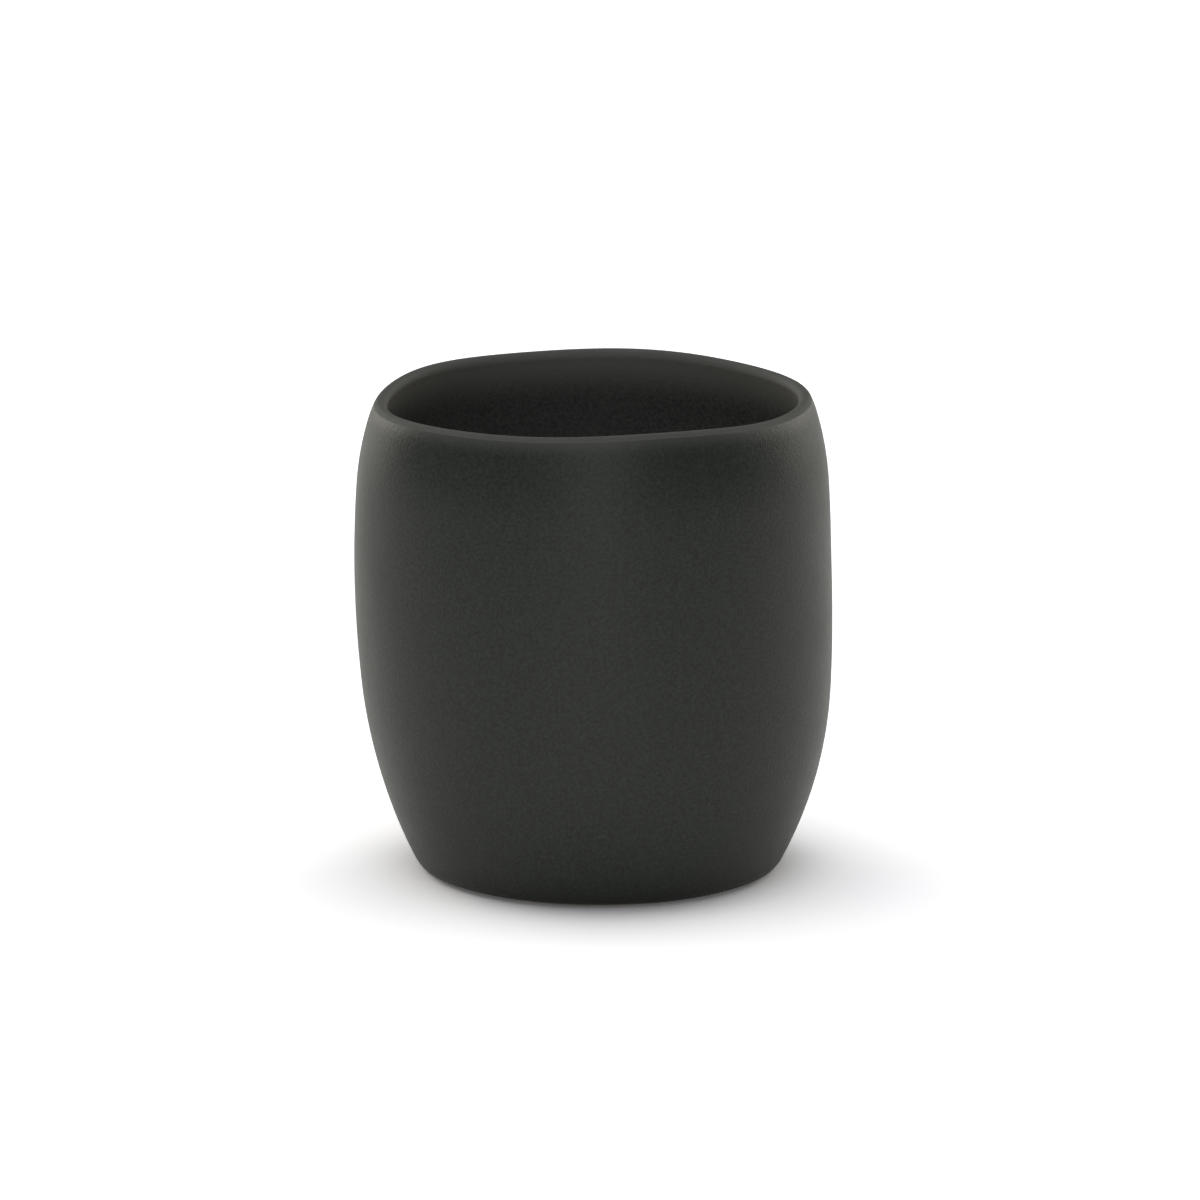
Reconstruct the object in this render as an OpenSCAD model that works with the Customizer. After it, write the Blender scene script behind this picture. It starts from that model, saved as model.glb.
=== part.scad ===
// Empty candle jar: a barrel-shaped ceramic cup, open at the top, with a thin rounded lip.
// A fired clay body carries a glaze lining, which runs over the lip, and a matte outer coat.
// Sizes are in millimetres and angles in degrees. +Z is up. The origin is the foot's centre.

/* [Jar] */
// Height from the foot ring to the crest of the lip
jar_h = 88; // [80:1:110]
// Largest outer diameter
belly_d = 86; // [83:1:106]
// Height of the largest diameter
belly_h = 52; // [42:1:64]
// Diameter of the mouth across the crest of the lip
mouth_d = 76; // [60:1:79]
// Outer diameter of the flat foot ring
foot_d = 59; // [44:1:68]

/* [Side curve] */
// Radius of the long curve down the belly
belly_curve = 300; // [180:10:600]
// Height where the belly turns in towards the lip
shoulder_h = 72; // [58:1:78]
// Height where the belly turns in towards the foot
hip_h = 35; // [22:1:44]
// Radius of the rounded heel above the foot ring
heel_r = 5; // [3:0.5:8]

/* [Walls] */
// Finished thickness of the side wall and the lip, glazes included
wall_t = 2.6; // [2:0.1:4]
// Finished thickness of the floor, glaze included
floor_t = 3.6; // [2.4:0.1:6]
// Radius between the inside wall and the floor
floor_r = 9; // [5:0.5:14]

/* [Foot] */
// Width of the flat foot ring
foot_w = 3.4; // [2:0.2:6]
// Depth of the recess inside the foot ring
recess_h = 1.4; // [0.8:0.1:3]

/* [Glazes] */
// Thickness of the lining glaze and of the outer coat
glaze_t = 0.4; // [0.2:0.05:0.6]
// Height of the coat's lower edge, clear of the surface that the jar stands on
coat_h = 1; // [0.6:0.1:2]

/* [Colours] */
// Fired clay, seen under the foot
clay_colour = "#4a443d";
// Lining glaze
lining_colour = "#33332f";
// Outer coat
coat_colour = "#3a3b38";

/* [Hidden] */
$fa = 3;

// Longest step along a drawn arc, as a length and as an angle
STEP_LENGTH = 2.5;
STEP_ANGLE = 9;

// A section point is [radius from the jar's axis, height]. Angle 0 points outwards and 90 up.
function ray(angle) = [cos(angle), sin(angle)];
function angle_of(v) = atan2(v[1], v[0]);
function reversed(list) = [for (i = [len(list) - 1:-1:0]) list[i]];

// Radius of an arc that starts at p, square to the angle, and passes q at a depth t inside it
function curve_r(p, angle, q, t) =
    let (d = q - p + t * ray(angle))
    t - d * d / (2 * d * ray(angle));

// The belly is one long arc. A shoulder arc leaves it for the lip, and a hip arc for the heel.
belly_c = [belly_d / 2 - belly_curve, belly_h];
shoulder_a = asin((shoulder_h - belly_h) / belly_curve);
hip_a = asin((hip_h - belly_h) / belly_curve);
shoulder_p = belly_c + belly_curve * ray(shoulder_a);
hip_p = belly_c + belly_curve * ray(hip_a);

// The lip is a half round as wide as the wall
lip_r = wall_t / 2;
lip_c = [mouth_d / 2, jar_h - lip_r];
shoulder_r = curve_r(shoulder_p, shoulder_a, lip_c, lip_r);
shoulder_c = shoulder_p - shoulder_r * ray(shoulder_a);
lip_a = angle_of(lip_c - shoulder_c);

// The heel's clay meets the foot ring level, so its coated arc would pass just below it
heel_c = [foot_d / 2, heel_r - glaze_t];
hip_r = curve_r(hip_p, hip_a, heel_c, heel_r);
hip_c = hip_p - hip_r * ray(hip_a);
heel_a = angle_of(heel_c - hip_c);

// Inside, the wall's arcs are parallel to the outer ones, down to the corner at the floor
floor_h = recess_h + floor_t;
corner_h = floor_h + floor_r;
corner_gap = hip_r - wall_t - floor_r;
corner_c = [hip_c[0] + sqrt(corner_gap ^ 2 - (corner_h - hip_c[1]) ^ 2), corner_h];
corner_a = angle_of(corner_c - hip_c);

// Each arc is [centre, radius, start angle, end angle]. The chains run from the floor's corner
// up the inside wall, over the lip and down the outside to the foot ring.
INSIDE = [
    [corner_c, floor_r, -90, corner_a],
    [hip_c, hip_r - wall_t, corner_a, hip_a],
    [belly_c, belly_curve - wall_t, hip_a, shoulder_a],
    [shoulder_c, shoulder_r - wall_t, shoulder_a, lip_a],
];
LIP = [[lip_c, lip_r, lip_a + 180, lip_a]];
OUTSIDE = [
    [shoulder_c, shoulder_r, lip_a, shoulder_a],
    [belly_c, belly_curve, shoulder_a, hip_a],
    [hip_c, hip_r, hip_a, heel_a],
    [heel_c, heel_r, heel_a, -90],
];

// Steps that an arc is drawn in
function steps(arc) =
    let (turn = abs(arc[3] - arc[2]))
    ceil(max(turn / STEP_ANGLE, arc[1] * turn * PI / 180 / STEP_LENGTH));

// Point on an arc moved away from its centre by grow
function arc_point(arc, angle, grow) = arc[0] + (arc[1] + grow) * ray(angle);

// Points that continue a line along a chain of arcs, without the chain's first point
function onward(chain, grow) = [
    for (arc = chain)
    for (i = [1:steps(arc)])
    arc_point(arc, arc[2] + (arc[3] - arc[2]) * i / steps(arc), grow)
];

// Points along a chain of arcs, from its first point to its last
function along(chain, grow) =
    concat([arc_point(chain[0], chain[0][2], grow)], onward(chain, grow));

// The line where the lining lies on the clay
LINING_BACK = concat(along(INSIDE, glaze_t), onward(LIP, -glaze_t));

// Fired clay: the whole cup, less its glazes, with a recess inside the foot ring
module clay_body() {
    ring_r = foot_d / 2 - foot_w;
    side = onward(OUTSIDE, -glaze_t);
    under = [[ring_r, 0], [ring_r - recess_h, recess_h], [0, recess_h], [0, floor_h - glaze_t]];
    color(clay_colour)
        rotate_extrude()
            polygon(concat(LINING_BACK, side, under));
}

// Lining glaze: the floor and the inside wall, and over the lip to its outer edge
module inside_glaze() {
    face = concat([[0, floor_h]], along(INSIDE, 0), onward(LIP, 0));
    color(lining_colour)
        rotate_extrude()
            polygon(concat(face, reversed(LINING_BACK), [[0, floor_h - glaze_t]]));
}

// Outer coat: the side, from the lip's outer edge down to just above the foot
module outside_coat() {
    color(coat_colour)
        rotate_extrude()
            difference() {
                polygon(concat(along(OUTSIDE, 0), reversed(along(OUTSIDE, -glaze_t))));
                translate([0, -heel_r])
                    square([belly_d, heel_r + coat_h]);
            }
}

clay_body();
inside_glaze();
outside_coat();
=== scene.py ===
"""Builds the visual model of an empty ceramic candle jar around its fixed frame, in a small studio.

The jar is a fired clay body with a glaze lining, which runs over the lip, and a matte outer coat.
Each piece is one section line, drawn from arcs and spun about the jar's axis, and then shaped by
the same small lean and waves that a hand-finished jar has. Lengths are in metres.
"""
import math
from collections import namedtuple

import bmesh
import bpy
from bpy.props import FloatProperty, FloatVectorProperty, PointerProperty
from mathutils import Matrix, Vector, noise


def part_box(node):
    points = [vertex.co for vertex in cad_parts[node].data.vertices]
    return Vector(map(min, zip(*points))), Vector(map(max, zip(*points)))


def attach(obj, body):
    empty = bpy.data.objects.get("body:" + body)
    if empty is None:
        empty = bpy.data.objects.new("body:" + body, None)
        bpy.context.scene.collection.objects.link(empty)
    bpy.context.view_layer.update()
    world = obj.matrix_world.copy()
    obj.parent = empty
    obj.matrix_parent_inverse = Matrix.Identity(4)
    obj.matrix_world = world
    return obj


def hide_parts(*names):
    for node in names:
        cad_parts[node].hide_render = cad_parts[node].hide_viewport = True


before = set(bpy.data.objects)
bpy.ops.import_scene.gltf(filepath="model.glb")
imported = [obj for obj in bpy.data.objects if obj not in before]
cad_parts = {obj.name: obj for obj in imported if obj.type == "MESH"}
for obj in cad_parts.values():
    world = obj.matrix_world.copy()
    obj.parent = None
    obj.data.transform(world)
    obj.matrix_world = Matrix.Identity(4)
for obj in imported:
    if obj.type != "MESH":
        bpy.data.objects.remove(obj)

bl_info = {
    "name": "Candle Jar",
    "version": (1, 0, 0),
    "blender": (4, 5, 0),
    "location": "View3D > Sidebar > Candle Jar",
    "description": "Builds a barrel-shaped ceramic candle jar and the studio that it stands in",
    "category": "Add Mesh",
}

BODY = "root"
CLAY_NODE = "clay_body"
LINING_NODE = "inside_glaze"
COAT_NODE = "outside_coat"
MM = 0.001

# Sizes that the frame's pieces already have
CLAY_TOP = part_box(CLAY_NODE)[1].z
LINING_LOW, LINING_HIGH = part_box(LINING_NODE)
COAT_LOW, COAT_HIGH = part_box(COAT_NODE)
JAR_H = LINING_HIGH.z
BELLY_R = max(COAT_HIGH.x, COAT_HIGH.y)
GLAZE_T = LINING_HIGH.z - CLAY_TOP
FLOOR_H = LINING_LOW.z + GLAZE_T
COAT_H = COAT_LOW.z

# How finely the pieces are drawn: sides round the jar, the longest step and the widest turn
# along an arc, and the steps across the floor, the foot ring, the recess's slope, the coat's
# rounded edge and the foot's softened edges
SIDES = 176
STEP_LENGTH = 1.1 * MM
STEP_ANGLE = math.radians(9)
FLOOR_STEPS = 8
RING_STEPS = 3
SLOPE_STEPS = 2
EDGE_STEPS = 8
FOOT_EDGE_STEPS = 5

# Points nearer than this are made one, and edges flatter than this are shaded smooth
WELD = 1e-6
SMOOTH_UNDER = math.radians(40)

# How far below the lip its band of wear and painted highlight fades into the coat's and the
# lining's colour, and how far down the inside wall the lining carries painted light
OUTER_FADE = 3.8 * MM
INNER_FADE = 2.4 * MM
INSIDE_LIGHT_REACH = 10 * MM

QUARTER = math.pi / 2

# Soft patches of light round the jar: angle from the camera to the right, angle above the
# floor, radius and soft edge, in degrees
LIGHT_PATCHES = (
    ("front_low", 0, 6, 14, 6),
    ("front", 0, 35, 20, 12),
    ("front_left", -55, 20, 22, 12),
    ("front_right", 55, 20, 22, 12),
    ("high_left", -90, 55, 20, 12),
    ("high_right", 90, 55, 20, 12),
    ("back_left", -135, 20, 20, 12),
    ("back_right", 135, 20, 20, 12),
    ("back", 180, 60, 20, 12),
    ("top", 0, 90, 20, 12),
)
RIM_PATCHES = ("high_left", "high_right", "back_left", "back_right")

# How many of each wave go round the jar
MOUTH_WAVES = (2, 3, 4, 5)
BELLY_WAVES = (2,)
RIM_WAVES = (0, 1, 2, 3, 5)

# The coat line's waves: how many go round, their shares of its size, and their peaks
COAT_WAVES = (3, 7, 11)
COAT_WAVE_SHARES = (0.5, 0.3, 0.2)
COAT_WAVE_TURNS = (0, 1, 2)

# The sides of the studio's round floor, the under lamp's place, and the side of its square
FLOOR_SIDES = 64
UNDER_PLACE = (0.2, -0.3, -0.6)
UNDER_SIZE = 0.5

# The camera's sensor in millimetres, and the distances between which it sees
SENSOR = 36
CLIP_NEAR = 0.01
CLIP_FAR = 50

Arc = namedtuple("Arc", "centre radius start end")
Section = namedtuple("Section", "inside lip outside")
Tones = namedtuple("Tones", "thick thin crest")
Layers = namedtuple("Layers", "broad fine finer share low high")

# How bright a finish is against its colour: where it lies thick, where it lies thin, and on
# the crests of its grain
COAT_TONES = Tones(0.36, 0.5, 1.6)
LINING_TONES = Tones(0.46, 0.6, 1.47)
CLAY_TONES = Tones(0.82, 1.15, 1.6)

# Two layers of noise: the detail and roughness of each, how much finer the fine one is, the
# broad one's share, and the range of their sum that turns into 0 to 1
GRAIN_LAYERS = Layers((3.0, 0.6), (2.0, 0.6), 0.3, 0.7, 0.35, 0.65)
MOTTLE_LAYERS = Layers((2.0, 0.5), (3.0, 0.6), 0.22, 0.65, 0.36, 0.64)

# How far the clouds change a glaze's roughness, and how rough the clay is
COAT_SPREAD = 0.03
LINING_SPREAD = 0.04
CLAY_ROUGH = (0.8, 0.95)

# How strongly specks, pits, grit and the clay's grain show, and how far grit stands out
SPECKS_SHOW = 0.6
PITS_SHOW = 0.7
GRIT_SHOWS = 0.8
CLAY_GRAIN_SHOWS = 0.3
GRIT_RISE = 0.6


# ---------------------------------------------------------------- settings


def length(name, text, value, **more):
    """A length setting, in metres, whose default is given in millimetres."""
    return FloatProperty(name=name, description=text, default=value * MM, unit="LENGTH",
                         precision=5, **more)


def angle(name, text, value):
    """An angle setting, whose default is given in degrees."""
    return FloatProperty(name=name, description=text, default=math.radians(value),
                         subtype="ANGLE")


def colour(name, text, value):
    """A colour setting."""
    return FloatVectorProperty(name=name, description=text, default=value, subtype="COLOR",
                               size=3, min=0, max=1)


def strength(name, value):
    """A light's strength setting."""
    return FloatProperty(name=name, description="Strength of this patch of light",
                         default=value, min=0)


class JarForm(bpy.types.PropertyGroup):
    """The jar's true round form, as the frame's solids have it."""

    wall_t: length("Wall", "Finished thickness of the side wall and the lip", 2.6)
    belly_h: length("Belly height", "Height of the largest diameter", 52)
    belly_curve: length("Belly curve", "Radius of the long curve down the belly", 300)
    shoulder_h: length("Shoulder height", "Where the belly turns in towards the lip", 72)
    hip_h: length("Hip height", "Where the belly turns in towards the foot", 35)
    mouth_d: length("Mouth", "Diameter across the crest of the lip", 76)
    foot_d: length("Foot", "Outer diameter of the flat foot ring", 59)
    heel_r: length("Heel", "Radius of the rounded heel above the foot ring", 5)
    floor_r: length("Floor corner", "Radius between the inside wall and the floor", 9)
    foot_w: length("Foot ring", "Width of the flat foot ring", 3.4)
    recess_h: length("Recess", "Depth of the recess inside the foot ring", 1.4)
    foot_edge: length("Foot edge", "Softening of the foot ring's inner edges", 0.6)


class HandWork(bpy.types.PropertyGroup):
    """How the jar departs from its true round form."""

    lean: length("Lean", "How far the mouth stands sideways from the foot", -1.2)
    lean_low: length("Lean from", "Height where the lean starts", 12.5)
    lean_high: length("Lean to", "Height where the lean ends", 63)
    mouth_size: FloatVectorProperty(
        name="Mouth waves", description="Sizes of the mouth's 2, 3, 4 and 5 waves round",
        default=(0.6 * MM, 0.2 * MM, 0.45 * MM, 0.15 * MM), size=4, unit="LENGTH", precision=5)
    mouth_turn: FloatVectorProperty(
        name="Mouth turns", description="Where each of the mouth's waves has a peak",
        default=[math.radians(a) for a in (24, -12, 18, -10)], size=4)
    belly_size: length("Belly wave", "Size of the belly's 2 waves round", 0.42)
    belly_turn: angle("Belly turn", "Where the belly's waves have a peak", -10)
    rim_size: FloatVectorProperty(
        name="Lip waves", description="Sizes of the lip's rise in 0, 1, 2, 3 and 5 waves round",
        default=[size * MM for size in (-0.19, 0.99, 0.42, 0.27, 0.19)], size=5, unit="LENGTH",
        precision=5)
    rim_turn: FloatVectorProperty(
        name="Lip turns", description="Where each of the lip's waves has a peak",
        default=[math.radians(a) for a in (0, 91, -82, 40, 4)], size=5)
    lip_soft: length("Lip rubbing", "How far the lip's outer edge is rubbed in", 0.3)
    soft_reach: length("Rubbing reach", "How far below the lip its outer edge is rubbed", 3.2)
    ripple: length("Ripple", "Size of the small soft unevenness of the surface", 0.05)
    ripple_size: length("Ripple size", "Distance over which the surface rises and falls", 17)
    coat_wave: length("Coat line", "How far the coat's lower edge rises and falls", 0.18)


class Finish(bpy.types.PropertyGroup):
    """Colours and gloss of the jar's finishes, some of them lightened as painted light."""

    coat: colour("Coat", "Matte outer coat", (0.0162, 0.0209, 0.0168))
    # Painted light: the lining's colour is set much lighter than the coat's, standing in for light
    # on the jar's shaded inside.
    lining: colour("Lining", "Lining glaze", (0.073, 0.079, 0.073))
    # Painted highlight, partly wear: the lip's band is lighter to widen the highlight along the
    # lip, as well as for glaze worn thin there.
    lip_wear_and_highlight: colour("Lip glaze", "Glaze worn thin over the lip", (0.056, 0.060, 0.056))
    # Painted light: the inside wall just under the lip is made much lighter, standing in for light
    # that falls on it over the front lip.
    painted_light_lining: colour("Thin lining", "Lining laid thin inside the lip", (0.258, 0.254, 0.235))
    speck: colour("Specks", "Iron specks in the glaze", (0.008, 0.0075, 0.007))
    clay: colour("Clay", "Bare fired clay", (0.036, 0.032, 0.0285))
    grog: colour("Grog", "Pale grit in the clay", (0.12, 0.105, 0.09))
    coat_roughness: FloatProperty(name="Coat roughness", description="How matte the coat is",
                                  default=0.36, min=0, max=1, subtype="FACTOR")
    lining_roughness: FloatProperty(name="Lining roughness", description="How matte the lining is",
                                    default=0.68, min=0, max=1, subtype="FACTOR")


class Studio(bpy.types.PropertyGroup):
    """Camera and lights."""

    distance: length("Distance", "From the camera to the middle of the jar", 1200)
    elevation: angle("Elevation", "Camera's angle above the floor", 13.04)
    lens: FloatProperty(name="Lens", description="Focal length on a 36 mm sensor, in millimetres",
                        default=197.2, subtype="DISTANCE_CAMERA")
    aim_right: length("Aim right", "How far right of the jar's middle the camera aims", 0.79)
    aim_up: length("Aim up", "How far above the jar's middle the camera aims", 5.32)
    floor_r: length("Floor", "Radius of the studio's floor", 6000)
    floor_white: FloatProperty(name="Floor white", description="How pale the floor is to the jar",
                               default=0.92, min=0, max=1, subtype="FACTOR")
    floor_gain: FloatProperty(name="Floor gain", description="How overexposed the floor looks",
                              default=1.85, min=1)
    floor_tint: colour("Floor tint", "Evens out the rim light's tint where the floor is seen",
                       (0.951, 0.96, 1))
    surround: strength("Surround", 0.11)
    front_low: strength("Front, low", 0.85)
    front: strength("Front", 0.65)
    front_left: strength("Front left", 0.14)
    front_right: strength("Front right", 0.02)
    high_left: strength("High left", 0.95)
    high_right: strength("High right", 0.42)
    back_left: strength("Back left", 2.25)
    back_right: strength("Back right", 1.7)
    back: strength("Back", 0.4)
    top: strength("Top", 2.2)
    rim_tint: colour("Rim tint", "Colour of the light from the sides and behind",
                     (1, 0.96, 0.86))
    under_energy: FloatProperty(name="Under lamp", description="Lamp below the floor, in watts",
                                default=4, min=0)


# ---------------------------------------------------------------- the section


def ray(turn):
    """Unit direction in the section's plane: 0 is outwards and a quarter turn is up."""
    return Vector((math.cos(turn), 0, math.sin(turn)))


def turn_of(way):
    """Angle of a direction in the section's plane."""
    return math.atan2(way.z, way.x)


def curve_radius(start, turn, target, depth):
    """Radius of an arc square to turn at start, which passes target at depth inside itself."""
    reach = target - start + depth * ray(turn)
    return depth - reach.dot(reach) / (2 * reach.dot(ray(turn)))


def jar_section(form):
    """The section's arcs: up the inside wall, over the lip, and down the outside to the foot."""
    belly_c = Vector((BELLY_R - form.belly_curve, 0, form.belly_h))
    shoulder_a = math.asin((form.shoulder_h - form.belly_h) / form.belly_curve)
    hip_a = math.asin((form.hip_h - form.belly_h) / form.belly_curve)
    shoulder_p = belly_c + form.belly_curve * ray(shoulder_a)
    hip_p = belly_c + form.belly_curve * ray(hip_a)

    lip_r = form.wall_t / 2
    lip_c = Vector((form.mouth_d / 2, 0, JAR_H - lip_r))
    shoulder_r = curve_radius(shoulder_p, shoulder_a, lip_c, lip_r)
    shoulder_c = shoulder_p - shoulder_r * ray(shoulder_a)
    lip_a = turn_of(lip_c - shoulder_c)

    heel_c = Vector((form.foot_d / 2, 0, form.heel_r - GLAZE_T))
    hip_r = curve_radius(hip_p, hip_a, heel_c, form.heel_r)
    hip_c = hip_p - hip_r * ray(hip_a)
    heel_a = turn_of(heel_c - hip_c)

    corner_h = FLOOR_H + form.floor_r
    corner_gap = hip_r - form.wall_t - form.floor_r
    corner_out = math.sqrt(corner_gap ** 2 - (corner_h - hip_c.z) ** 2)
    corner_c = Vector((hip_c.x + corner_out, 0, corner_h))
    corner_a = turn_of(corner_c - hip_c)

    inside = [
        Arc(corner_c, form.floor_r, -QUARTER, corner_a),
        Arc(hip_c, hip_r - form.wall_t, corner_a, hip_a),
        Arc(belly_c, form.belly_curve - form.wall_t, hip_a, shoulder_a),
        Arc(shoulder_c, shoulder_r - form.wall_t, shoulder_a, lip_a),
    ]
    lip = [Arc(lip_c, lip_r, lip_a + math.pi, lip_a)]
    outside = [
        Arc(shoulder_c, shoulder_r, lip_a, shoulder_a),
        Arc(belly_c, form.belly_curve, shoulder_a, hip_a),
        Arc(hip_c, hip_r, hip_a, heel_a),
        Arc(heel_c, form.heel_r, heel_a, -QUARTER),
    ]
    return Section(inside, lip, outside)


def arc_point(arc, turn, grow):
    """Point on an arc moved away from its centre by grow."""
    return arc.centre + (arc.radius + grow) * ray(turn)


def coated_arcs(outside):
    """The outside arcs down to the coat's lower edge."""
    heel = outside[-1]
    edge = math.asin((COAT_H - heel.centre.z) / heel.radius)
    return [*outside[:-1], heel._replace(end=edge)]


def draw_line(bm, vert, point, steps):
    """Draws a straight stretch from vert to point and returns its last vertex."""
    step = (point - vert.co) / steps
    for _ in range(steps):
        made = bmesh.ops.extrude_vert_indiv(bm, verts=[vert])
        vert = made["verts"][0]
        vert.co += step
    return vert


def draw_turn(bm, vert, centre, turn, steps):
    """Draws an arc from vert about centre and returns its last vertex."""
    made = bmesh.ops.spin(bm, geom=[vert], cent=centre, axis=(0, -1, 0), dvec=(0, 0, 0),
                          angle=turn, steps=steps, use_merge=False, use_normal_flip=False,
                          use_duplicate=False)
    return next(item for item in made["geom_last"] if isinstance(item, bmesh.types.BMVert))


def draw_arcs(bm, vert, arcs):
    """Draws a chain of arcs onwards from vert and returns its last vertex."""
    for arc in arcs:
        turn = arc.end - arc.start
        steps = math.ceil(max(abs(turn) / STEP_ANGLE, arc.radius * abs(turn) / STEP_LENGTH))
        vert = draw_turn(bm, vert, arc.centre, turn, steps)
    return vert


def draw_inside(bm, section, depth):
    """Draws the floor, the inside wall and the lip, at a depth below the lining's face."""
    corner = section.inside[0]
    middle = bm.verts.new((0, 0, FLOOR_H - depth))
    vert = draw_line(bm, middle, arc_point(corner, corner.start, depth), FLOOR_STEPS)
    return draw_arcs(bm, vert, section.inside + section.lip)


def backwards(arcs):
    """The same arcs, drawn from the other end."""
    return [arc._replace(start=arc.end, end=arc.start) for arc in reversed(arcs)]


def spin_section(bm):
    """Spins the drawn section about the jar's axis and closes its seam and poles."""
    bmesh.ops.remove_doubles(bm, verts=bm.verts[:], dist=WELD)
    bmesh.ops.spin(bm, geom=bm.verts[:] + bm.edges[:], cent=(0, 0, 0), axis=(0, 0, 1),
                   dvec=(0, 0, 0), angle=2 * math.pi, steps=SIDES, use_merge=True,
                   use_normal_flip=False, use_duplicate=False)
    bmesh.ops.remove_doubles(bm, verts=bm.verts[:], dist=WELD)
    bmesh.ops.dissolve_degenerate(bm, edges=bm.edges[:], dist=WELD)
    bmesh.ops.recalc_face_normals(bm, faces=bm.faces[:])


# ---------------------------------------------------------------- the hand-finished shape


def eased(share):
    """Share from 0 to 1, with a soft start and end."""
    share = min(max(share, 0), 1)
    return share * share * (3 - 2 * share)


def waves(turn, counts, sizes, turns):
    """Sum of waves round the jar, each with its own count, size and peak."""
    return sum(size * math.cos(count * (turn - peak))
               for count, size, peak in zip(counts, sizes, turns))


def lip_softening(radius, height, form, hand):
    """How far the outer edge of the lip is rubbed in at a point of the section."""
    lip_r = form.wall_t / 2
    outer = eased((radius - form.mouth_d / 2) / lip_r)
    rise = min(max((height - JAR_H) / hand.soft_reach + 1, 0), 1)
    return hand.lip_soft * outer * rise ** 2


def shaped_by_hand(point, form, hand):
    """Where a point of the true round form is on the hand-finished jar."""
    radius = math.hypot(point.x, point.y)
    turn = math.atan2(point.y, point.x)
    radius -= lip_softening(radius, point.z, form, hand)
    up = point.z / JAR_H
    out = radius / BELLY_R
    # The mouth's waves grow towards the lip, the belly's are largest half way up, and the
    # lip's rise fades soon below it
    swell = up ** 3 * waves(turn, MOUTH_WAVES, hand.mouth_size, hand.mouth_turn)
    swell += 4 * up * (1 - up) * waves(turn, BELLY_WAVES, [hand.belly_size], [hand.belly_turn])
    swell += hand.ripple * noise.noise(point / hand.ripple_size)
    lift = up ** 5 * waves(turn, RIM_WAVES, hand.rim_size, hand.rim_turn)
    side = eased((point.z - hand.lean_low) / (hand.lean_high - hand.lean_low)) - 0.5
    grown = radius + out * swell
    return Vector((grown * math.cos(turn) + hand.lean * side,
                   grown * math.sin(turn),
                   point.z + lift))


def lip_and_inside_light_masks(point, form):
    """How far up the lip's band of wear and painted highlight, and up the inside wall's band of
    painted light below it, a point of the round form is.
    """
    below = point.z - JAR_H
    outer = eased((math.hypot(point.x, point.y) - form.mouth_d / 2) / form.wall_t + 0.5)
    fade = INNER_FADE + (OUTER_FADE - INNER_FADE) * outer
    return eased(below / fade + 1), eased(below / INSIDE_LIGHT_REACH + 1)


def slid_round_heel(point, heel, hand):
    """A point near the heel, slid round it by the coat line's waves towards the foot."""
    turn = math.atan2(point.y, point.x)
    flat = Vector((math.hypot(point.x, point.y), 0, point.z)) - heel.centre
    share = eased((heel.start - turn_of(flat)) / (heel.start - heel.end))
    if flat.x < 0 or flat.z > 0 or share == 0:
        return point
    slide = hand.coat_wave * waves(turn, COAT_WAVES, COAT_WAVE_SHARES, COAT_WAVE_TURNS)
    bent = turn_of(flat) + share * slide / heel.radius
    moved = heel.centre + flat.length * ray(bent)
    return Vector((moved.x * math.cos(turn), moved.x * math.sin(turn), moved.z))


def finished_piece(bm, name, form, hand):
    """Turns a spun section into the hand-finished piece, ready for its material."""
    # Masks for the lip's band of wear and painted highlight, and for the painted light on the
    # inside wall below it
    lip = bm.verts.layers.float.new("lip")
    inside = bm.verts.layers.float.new("inside")
    for vert in bm.verts:
        vert[lip], vert[inside] = lip_and_inside_light_masks(vert.co, form)
        vert.co = shaped_by_hand(vert.co, form, hand)
    mesh = bpy.data.meshes.new(name)
    for face in bm.faces:
        face.smooth = True
    bm.to_mesh(mesh)
    bm.free()
    mesh.set_sharp_from_angle(angle=SMOOTH_UNDER)
    piece = bpy.data.objects.new(name, mesh)
    bpy.context.scene.collection.objects.link(piece)
    return piece


def place_piece(piece, solid, material):
    """Gives a piece its material and ties it to the frame, where it replaces a solid."""
    piece.data.materials.append(material)
    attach(piece, BODY)
    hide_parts(solid)


# ---------------------------------------------------------------- material helpers


def socket(group, name, kind, going, value=None):
    """Adds a named input or output to a node group."""
    made = group.interface.new_socket(name=name, in_out=going, socket_type=kind)
    if value is not None:
        made.default_value = value


def new_group(name, inputs, outputs):
    """A shader node group with its two end nodes."""
    group = bpy.data.node_groups.new(name, "ShaderNodeTree")
    for label, kind, value in inputs:
        socket(group, label, kind, "INPUT", value)
    for label, kind in outputs:
        socket(group, label, kind, "OUTPUT")
    start = group.nodes.new("NodeGroupInput")
    end = group.nodes.new("NodeGroupOutput")
    return group, start, end


def node(tree, kind, links=None, **options):
    """Adds a node, sets its options and values, and links its inputs."""
    made = tree.nodes.new(kind)
    for key, value in options.items():
        setattr(made, key, value)
    for key, source in (links or {}).items():
        target = made.inputs[key]
        if isinstance(source, bpy.types.NodeSocket):
            tree.links.new(source, target)
        else:
            target.default_value = source
    return made


def maths(tree, operation, first, second=0.0, clamp=False):
    """A Math node's result."""
    made = node(tree, "ShaderNodeMath", {0: first, 1: second}, operation=operation,
                use_clamp=clamp)
    return made.outputs[0]


def ranged(tree, value, low, high, new_low, new_high):
    """A value carried from one range to another, and held inside it."""
    made = node(tree, "ShaderNodeMapRange",
                {"Value": value, "From Min": low, "From Max": high,
                 "To Min": new_low, "To Max": new_high})
    return made.outputs["Result"]


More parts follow.
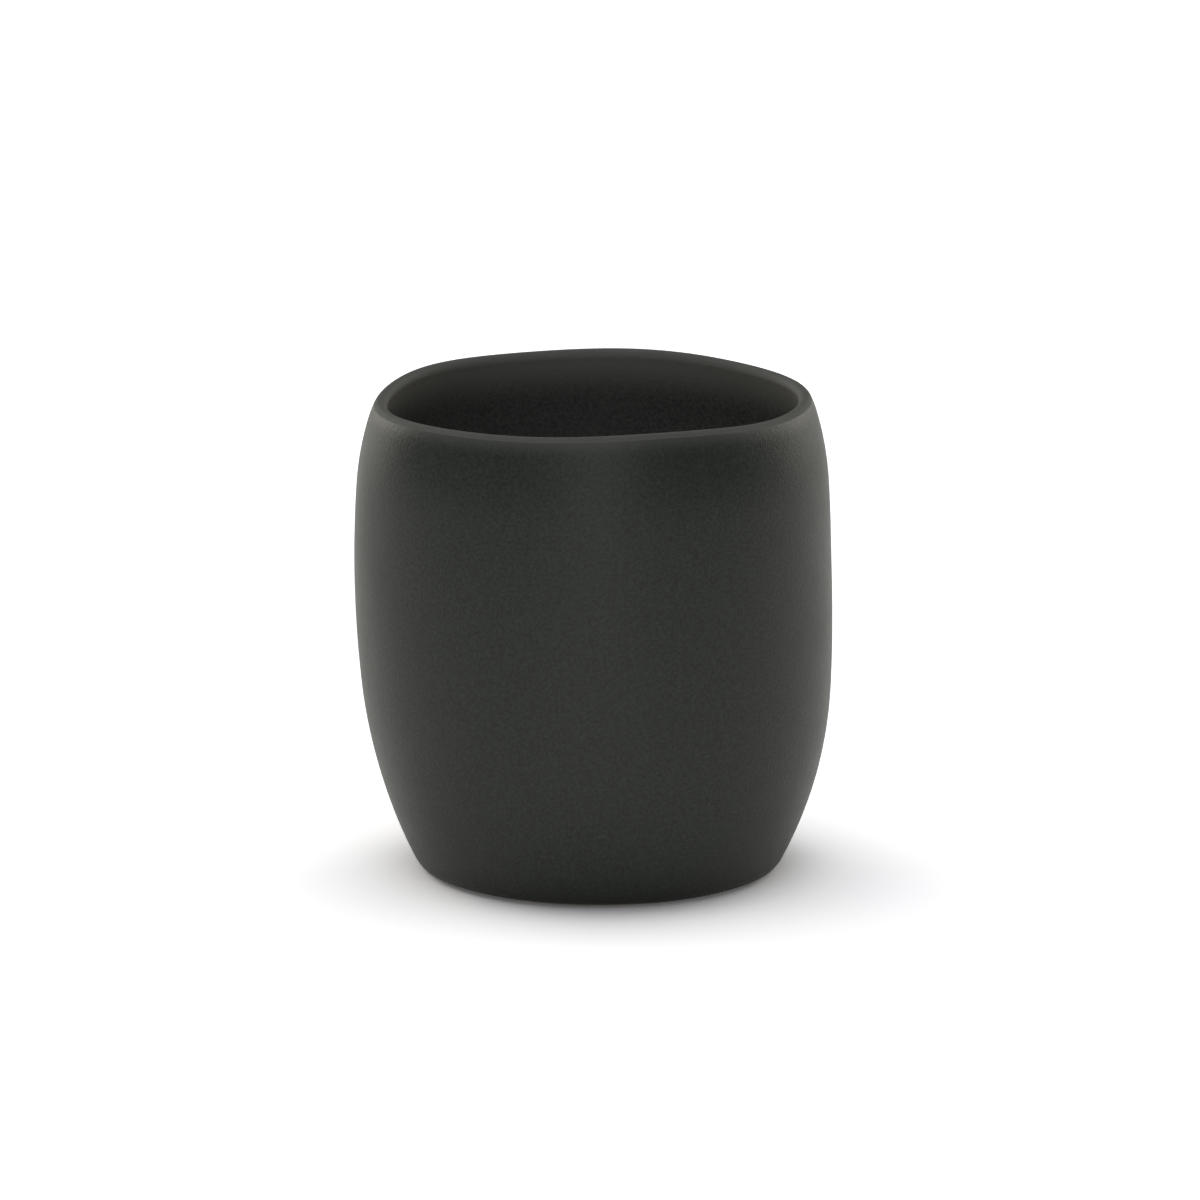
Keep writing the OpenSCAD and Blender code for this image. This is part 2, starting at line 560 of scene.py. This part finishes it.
def blended(tree, share, first, second):
    """A colour between two colours."""
    made = node(tree, "ShaderNodeMix", data_type="RGBA", blend_type="MIX")
    for key, source in (("Factor", share), ("A", first), ("B", second)):
        kind = "VALUE" if key == "Factor" else "RGBA"
        target = next(s for s in made.inputs if s.name == key and s.type == kind)
        if isinstance(source, bpy.types.NodeSocket):
            tree.links.new(source, target)
        elif kind == "VALUE":
            target.default_value = source
        else:
            target.default_value = (*source, 1)
    return next(s for s in made.outputs if s.type == "RGBA")


def noise_value(tree, where, size, detail, roughness):
    """A noise texture's value, with features about size across."""
    scale = maths(tree, "DIVIDE", 1.0, size)
    made = node(tree, "ShaderNodeTexNoise",
                {"Vector": where, "Scale": scale, "Detail": detail, "Roughness": roughness})
    return made.outputs["Fac"]


def layered_noise(tree, where, size, layers):
    """Broad noise with finer noise laid over it."""
    finer = maths(tree, "MULTIPLY", size, layers.finer)
    broad = noise_value(tree, where, size, *layers.broad)
    fine = noise_value(tree, where, finer, *layers.fine)
    return maths(tree, "ADD", maths(tree, "MULTIPLY", broad, layers.share),
                 maths(tree, "MULTIPLY", fine, 1 - layers.share))


def grain_group():
    """Fine tooth of a matte fired surface."""
    group, start, end = new_group(
        "Grain",
        [("Vector", "NodeSocketVector", None), ("Size", "NodeSocketFloat", 0.5 * MM)],
        [("Height", "NodeSocketFloat"), ("Mask", "NodeSocketFloat")])
    layers = GRAIN_LAYERS
    height = layered_noise(group, start.outputs["Vector"], start.outputs["Size"], layers)
    group.links.new(height, end.inputs["Height"])
    group.links.new(ranged(group, height, layers.low, layers.high, 0, 1), end.inputs["Mask"])
    return group


def mottle_group():
    """Soft clouds of a glaze that lay thicker here and thinner there."""
    group, start, end = new_group(
        "Mottle",
        [("Vector", "NodeSocketVector", None), ("Size", "NodeSocketFloat", 14 * MM)],
        [("Mask", "NodeSocketFloat")])
    layers = MOTTLE_LAYERS
    clouds = layered_noise(group, start.outputs["Vector"], start.outputs["Size"], layers)
    group.links.new(ranged(group, clouds, layers.low, layers.high, 0, 1), end.inputs["Mask"])
    return group


def specks_group():
    """Scattered round specks or pits, each of its own size."""
    group, start, end = new_group(
        "Specks",
        [("Vector", "NodeSocketVector", None), ("Spacing", "NodeSocketFloat", 3 * MM),
         ("Share", "NodeSocketFloat", 0.3), ("Width", "NodeSocketFloat", 0.1)],
        [("Mask", "NodeSocketFloat")])
    scale = maths(group, "DIVIDE", 1.0, start.outputs["Spacing"])
    cells = node(group, "ShaderNodeTexVoronoi", {"Vector": start.outputs["Vector"],
                                                 "Scale": scale})
    pick = node(group, "ShaderNodeSeparateColor", {"Color": cells.outputs["Color"]})
    chosen = maths(group, "LESS_THAN", pick.outputs["Red"], start.outputs["Share"])
    width = maths(group, "MULTIPLY", start.outputs["Width"],
                  maths(group, "ADD", pick.outputs["Green"], 0.4))
    inside = maths(group, "SUBTRACT", 1.0,
                   maths(group, "DIVIDE", cells.outputs["Distance"], width), clamp=True)
    group.links.new(maths(group, "MULTIPLY", chosen, inside, clamp=True), end.inputs["Mask"])
    return group


GROUP_MAKERS = {"Grain": grain_group, "Mottle": mottle_group, "Specks": specks_group}


def shared_group(name):
    """A shared node group, built the first time that it is asked for."""
    return bpy.data.node_groups.get(name) or GROUP_MAKERS[name]()


def effect(tree, name, where, **values):
    """Places a shared node group in a material with its own values."""
    made = node(tree, "ShaderNodeGroup", node_tree=shared_group(name))
    tree.links.new(where, made.inputs["Vector"])
    for key, value in values.items():
        made.inputs[key.capitalize()].default_value = value
    return made


def new_material(name):
    """A material with its shader, and the jar's own coordinates."""
    material = bpy.data.materials.new(name)
    material.use_nodes = True
    tree = material.node_tree
    tree.nodes.clear()
    out = node(tree, "ShaderNodeOutputMaterial")
    shader = node(tree, "ShaderNodeBsdfPrincipled")
    tree.links.new(shader.outputs["BSDF"], out.inputs["Surface"])
    where = node(tree, "ShaderNodeTexCoord").outputs["Object"]
    return material, tree, shader, where


def toothed(tree, main, tones, clouds, grain):
    """A finish's main colour, varied by its clouds and its grain."""
    base = Vector(main)
    hollow = blended(tree, clouds, base * tones.thick, base * tones.thin)
    return blended(tree, grain, hollow, base * tones.crest)


def roughened(tree, shader, mask, low, high):
    """Varies the shader's roughness with a mask."""
    tree.links.new(ranged(tree, mask, 0, 1, low, high), shader.inputs["Roughness"])


def bumped(tree, shader, height, distance):
    """Raises the surface by a height that is 0 to 1 times distance."""
    bump = node(tree, "ShaderNodeBump", {"Height": height, "Distance": distance})
    tree.links.new(bump.outputs["Normal"], shader.inputs["Normal"])


# ---------------------------------------------------------------- materials


def coat_material(finish):
    """Matte charcoal coat: a fine tooth, faint clouds and few specks, and a lighter band at the lip
    that is partly wear and partly a painted highlight.
    """
    material, tree, shader, where = new_material("matte_coat")
    clouds = effect(tree, "Mottle", where, size=14 * MM).outputs["Mask"]
    grain = effect(tree, "Grain", where, size=0.55 * MM)
    specks = effect(tree, "Specks", where, spacing=2.6 * MM, share=0.3,
                    width=0.09).outputs["Mask"]
    plain = toothed(tree, finish.coat, COAT_TONES, clouds, grain.outputs["Mask"])
    flecked = blended(tree, maths(tree, "MULTIPLY", specks, SPECKS_SHOW), plain, finish.speck)
    # The lip's band is lighter: partly glaze worn thin, partly a painted highlight along the lip.
    lip = node(tree, "ShaderNodeAttribute", attribute_name="lip").outputs["Fac"]
    tone = blended(tree, lip, flecked, finish.lip_wear_and_highlight)
    tree.links.new(tone, shader.inputs["Base Color"])
    rough = finish.coat_roughness
    roughened(tree, shader, clouds, rough - COAT_SPREAD, rough + COAT_SPREAD)
    bumped(tree, shader, grain.outputs["Height"], distance=0.1 * MM)
    return material


def lining_material(finish):
    """Lining glaze: duller than the coat, with pinholes, painted light on the inside wall below the
    lip, and wear and a painted highlight on the lip.
    """
    material, tree, shader, where = new_material("lining_glaze")
    clouds = effect(tree, "Mottle", where, size=11 * MM).outputs["Mask"]
    grain = effect(tree, "Grain", where, size=0.6 * MM)
    pits = effect(tree, "Specks", where, spacing=4.5 * MM, share=0.35,
                  width=0.07).outputs["Mask"]
    # The lining's colour carries painted light for the shaded inside.
    plain = toothed(tree, finish.lining, LINING_TONES, clouds, grain.outputs["Mask"])
    pitted = blended(tree, maths(tree, "MULTIPLY", pits, PITS_SHOW), plain, finish.speck)
    # Painted light on the inside wall below the lip, then the lip's band of wear and painted
    # highlight over its crest
    inside = node(tree, "ShaderNodeAttribute", attribute_name="inside").outputs["Fac"]
    lip = node(tree, "ShaderNodeAttribute", attribute_name="lip").outputs["Fac"]
    inside_lit = blended(tree, inside, pitted, finish.painted_light_lining)
    tone = blended(tree, lip, inside_lit, finish.lip_wear_and_highlight)
    tree.links.new(tone, shader.inputs["Base Color"])
    rough = finish.lining_roughness
    roughened(tree, shader, clouds, rough - LINING_SPREAD, rough + LINING_SPREAD)
    height = maths(tree, "SUBTRACT", grain.outputs["Height"], pits)
    bumped(tree, shader, height, distance=0.08 * MM)
    return material


def clay_material(finish):
    """Bare fired clay: dry, with pale grit."""
    material, tree, shader, where = new_material("fired_clay")
    clouds = effect(tree, "Mottle", where, size=7 * MM).outputs["Mask"]
    grain = effect(tree, "Grain", where, size=0.7 * MM)
    grit = effect(tree, "Specks", where, spacing=1.4 * MM, share=0.4,
                  width=0.22).outputs["Mask"]
    faint = maths(tree, "MULTIPLY", grain.outputs["Mask"], CLAY_GRAIN_SHOWS)
    plain = toothed(tree, finish.clay, CLAY_TONES, clouds, faint)
    gritty = blended(tree, maths(tree, "MULTIPLY", grit, GRIT_SHOWS), plain, finish.grog)
    tree.links.new(gritty, shader.inputs["Base Color"])
    roughened(tree, shader, grain.outputs["Mask"], *CLAY_ROUGH)
    height = maths(tree, "ADD", grain.outputs["Height"],
                   maths(tree, "MULTIPLY", grit, GRIT_RISE))
    bumped(tree, shader, height, distance=0.1 * MM)
    return material


# ---------------------------------------------------------------- operators


def settings(context):
    """The four groups of settings."""
    scene = context.scene
    return scene.jar_form, scene.jar_hand, scene.jar_finish, scene.jar_studio


class CANDLEJAR_OT_clay(bpy.types.Operator):
    """Adds the fired clay body, whose foot ring and recess are bare"""

    bl_idname = "candlejar.clay"
    bl_label = "Clay Body"

    def execute(self, context):
        form, hand, finish, _ = settings(context)
        section = jar_section(form)
        ring_r = form.foot_d / 2 - form.foot_w
        bm = bmesh.new()
        vert = draw_inside(bm, section, GLAZE_T)
        vert = draw_arcs(bm, vert, section.outside)
        ring_in = draw_line(bm, vert, Vector((ring_r, 0, 0)), RING_STEPS)
        slope_end = Vector((ring_r - form.recess_h, 0, form.recess_h))
        recess = draw_line(bm, ring_in, slope_end, SLOPE_STEPS)
        draw_line(bm, recess, Vector((0, 0, form.recess_h)), FLOOR_STEPS)
        bmesh.ops.bevel(bm, geom=[ring_in, recess], offset=form.foot_edge,
                        segments=FOOT_EDGE_STEPS, profile=0.5, affect="VERTICES", material=-1)
        spin_section(bm)
        piece = finished_piece(bm, "clay", form, hand)
        place_piece(piece, CLAY_NODE, clay_material(finish))
        return {"FINISHED"}


class CANDLEJAR_OT_lining(bpy.types.Operator):
    """Adds the lining glaze, from the floor up the inside wall and over the lip"""

    bl_idname = "candlejar.lining"
    bl_label = "Lining Glaze"

    def execute(self, context):
        form, hand, finish, _ = settings(context)
        section = jar_section(form)
        bm = bmesh.new()
        face_end = draw_inside(bm, section, 0)
        back_end = draw_inside(bm, section, GLAZE_T)
        bm.edges.new((face_end, back_end))
        spin_section(bm)
        piece = finished_piece(bm, "lining", form, hand)
        place_piece(piece, LINING_NODE, lining_material(finish))
        return {"FINISHED"}


class CANDLEJAR_OT_coat(bpy.types.Operator):
    """Adds the matte outer coat, from the lip's outer edge down to its rounded lower edge"""

    bl_idname = "candlejar.coat"
    bl_label = "Outer Coat"

    def execute(self, context):
        form, hand, finish, _ = settings(context)
        section = jar_section(form)
        coated = coated_arcs(section.outside)
        top, heel = coated[0], coated[-1]
        bm = bmesh.new()
        face_start = bm.verts.new(arc_point(top, top.start, 0))
        vert = draw_arcs(bm, face_start, coated)
        edge_c = arc_point(heel, heel.end, -GLAZE_T / 2)
        vert = draw_turn(bm, vert, edge_c, -math.pi, EDGE_STEPS)
        back_end = draw_arcs(bm, vert, backwards(coated))
        bm.edges.new((back_end, face_start))
        spin_section(bm)
        for vert in bm.verts:
            vert.co = slid_round_heel(vert.co, heel, hand)
        piece = finished_piece(bm, "coat", form, hand)
        place_piece(piece, COAT_NODE, coat_material(finish))
        return {"FINISHED"}


class CANDLEJAR_OT_studio(bpy.types.Operator):
    """Adds the pale floor, the soft light and the camera"""

    bl_idname = "candlejar.studio"
    bl_label = "Studio"

    def execute(self, context):
        studio = context.scene.jar_studio
        add_floor(studio)
        add_world(context.scene, studio)
        add_under_lamp(studio)
        add_camera(context.scene, studio)
        return {"FINISHED"}


# ---------------------------------------------------------------- studio


def add_floor(studio):
    """A wide pale floor, which isn't seen from below."""
    bm = bmesh.new()
    bmesh.ops.create_circle(bm, cap_ends=True, segments=FLOOR_SIDES,
                            radius=studio.floor_r)
    mesh = bpy.data.meshes.new("studio_floor")
    bm.to_mesh(mesh)
    bm.free()
    floor = bpy.data.objects.new("studio_floor", mesh)
    bpy.context.scene.collection.objects.link(floor)
    material = bpy.data.materials.new("pale_floor")
    material.use_nodes = True
    tree = material.node_tree
    tree.nodes.clear()
    seen = node(tree, "ShaderNodeLightPath").outputs["Is Camera Ray"]
    white = studio.floor_white * Vector((1, 1, 1))
    bright = studio.floor_white * studio.floor_gain * Vector(studio.floor_tint)
    paint = node(tree, "ShaderNodeBsdfDiffuse", {"Color": blended(tree, seen, white, bright)})
    clear = node(tree, "ShaderNodeBsdfTransparent")
    side = node(tree, "ShaderNodeNewGeometry").outputs["Backfacing"]
    either = node(tree, "ShaderNodeMixShader", {0: side, 1: paint.outputs[0],
                                                2: clear.outputs[0]})
    out = node(tree, "ShaderNodeOutputMaterial")
    tree.links.new(either.outputs[0], out.inputs["Surface"])
    floor.data.materials.append(material)


def light_patch(tree, way, axis, radius, soft):
    """How far a direction is inside a soft-edged round patch of light about an axis."""
    near = node(tree, "ShaderNodeVectorMath", {0: way, 1: axis}, operation="DOT_PRODUCT")
    apart = maths(tree, "ARCCOSINE", near.outputs["Value"])
    made = node(tree, "ShaderNodeMapRange",
                {"Value": apart, "From Min": radius + soft, "From Max": radius - soft},
                interpolation_type="SMOOTHSTEP")
    return made.outputs["Result"]


def direction(across, up):
    """Unit direction: across is 0 towards the camera and grows to the right of it."""
    return Vector((math.sin(across) * math.cos(up), -math.cos(across) * math.cos(up),
                   math.sin(up)))


def add_world(scene, studio):
    """Soft light all round the jar: a dim surround with a few bright soft patches."""
    world = bpy.data.worlds.new("studio_world")
    world.use_nodes = True
    tree = world.node_tree
    tree.nodes.clear()
    way = node(tree, "ShaderNodeTexCoord").outputs["Generated"]
    white = Vector((1, 1, 1))
    glow = studio.surround * white
    for name, across, up, radius, soft in LIGHT_PATCHES:
        tint = Vector(studio.rim_tint) if name in RIM_PATCHES else white
        axis = direction(math.radians(across), math.radians(up))
        mask = light_patch(tree, way, axis, math.radians(radius), math.radians(soft))
        lit = node(tree, "ShaderNodeVectorMath", {0: getattr(studio, name) * tint, "Scale": mask},
                   operation="SCALE")
        both = node(tree, "ShaderNodeVectorMath", {0: glow, 1: lit.outputs["Vector"]},
                    operation="ADD")
        glow = both.outputs["Vector"]
    light = node(tree, "ShaderNodeBackground", {"Color": glow, "Strength": 1})
    out = node(tree, "ShaderNodeOutputWorld")
    tree.links.new(light.outputs[0], out.inputs["Surface"])
    scene.world = world


def add_under_lamp(studio):
    """A soft lamp below the floor, which isn't seen and lights only the clay's underside."""
    data = bpy.data.lights.new("under_lamp", "AREA")
    data.shape = "RECTANGLE"
    data.size = UNDER_SIZE
    data.size_y = UNDER_SIZE
    data.energy = studio.under_energy
    lamp = bpy.data.objects.new("under_lamp", data)
    lamp.location = UNDER_PLACE
    lamp.rotation_euler = Vector(UNDER_PLACE).to_track_quat("Z", "Y").to_euler()
    lamp.visible_camera = False
    bpy.context.scene.collection.objects.link(lamp)
    lit = bpy.data.collections.new("lit_from_below")
    lit.objects.link(bpy.data.objects["clay"])
    lamp.light_linking.receiver_collection = lit
    lamp.light_linking.blocker_collection = lit


def add_camera(scene, studio):
    """A long-lens camera, a little above the jar, whose picture keeps plain colours."""
    data = bpy.data.cameras.new("camera")
    data.lens = studio.lens
    data.sensor_width = SENSOR
    data.clip_start = CLIP_NEAR
    data.clip_end = CLIP_FAR
    camera = bpy.data.objects.new("camera", data)
    up, level = math.sin(studio.elevation), math.cos(studio.elevation)
    middle = Vector((0, 0, JAR_H / 2))
    place = middle + studio.distance * Vector((0, -level, up))
    aim = middle + Vector((studio.aim_right, studio.aim_up * up, studio.aim_up * level))
    camera.location = place
    camera.rotation_euler = (aim - place).to_track_quat("-Z", "Y").to_euler()
    scene.collection.objects.link(camera)
    scene.camera = camera
    scene.view_settings.view_transform = "Standard"


# ---------------------------------------------------------------- panel and registration


class CANDLEJAR_PT_panel(bpy.types.Panel):
    """Lists the jar's pieces and settings"""

    bl_label = "Candle Jar"
    bl_idname = "CANDLEJAR_PT_panel"
    bl_space_type = "VIEW_3D"
    bl_region_type = "UI"
    bl_category = "Candle Jar"

    def draw(self, context):
        layout = self.layout
        for operator in PIECES:
            layout.operator(operator.bl_idname)
        for title, group in zip(("Form", "Hand work", "Finish", "Studio"), settings(context)):
            box = layout.box()
            box.label(text=title)
            for key in group.__annotations__:
                box.prop(group, key)


PIECES = (CANDLEJAR_OT_clay, CANDLEJAR_OT_lining, CANDLEJAR_OT_coat, CANDLEJAR_OT_studio)
GROUPS = {"jar_form": JarForm, "jar_hand": HandWork, "jar_finish": Finish, "jar_studio": Studio}
CLASSES = (*GROUPS.values(), *PIECES, CANDLEJAR_PT_panel)


def register():
    """Registers the classes and hangs the settings on the scene."""
    for cls in CLASSES:
        bpy.utils.register_class(cls)
    for name, group in GROUPS.items():
        setattr(bpy.types.Scene, name, PointerProperty(type=group))


def unregister():
    """Takes the settings and classes away again."""
    for name in GROUPS:
        delattr(bpy.types.Scene, name)
    for cls in reversed(CLASSES):
        bpy.utils.unregister_class(cls)


def main():
    """Builds the jar and its studio."""
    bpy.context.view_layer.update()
    register()
    bpy.ops.candlejar.clay()
    bpy.ops.candlejar.lining()
    bpy.ops.candlejar.coat()
    bpy.ops.candlejar.studio()
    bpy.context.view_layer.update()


if __name__ == "__main__":
    main()
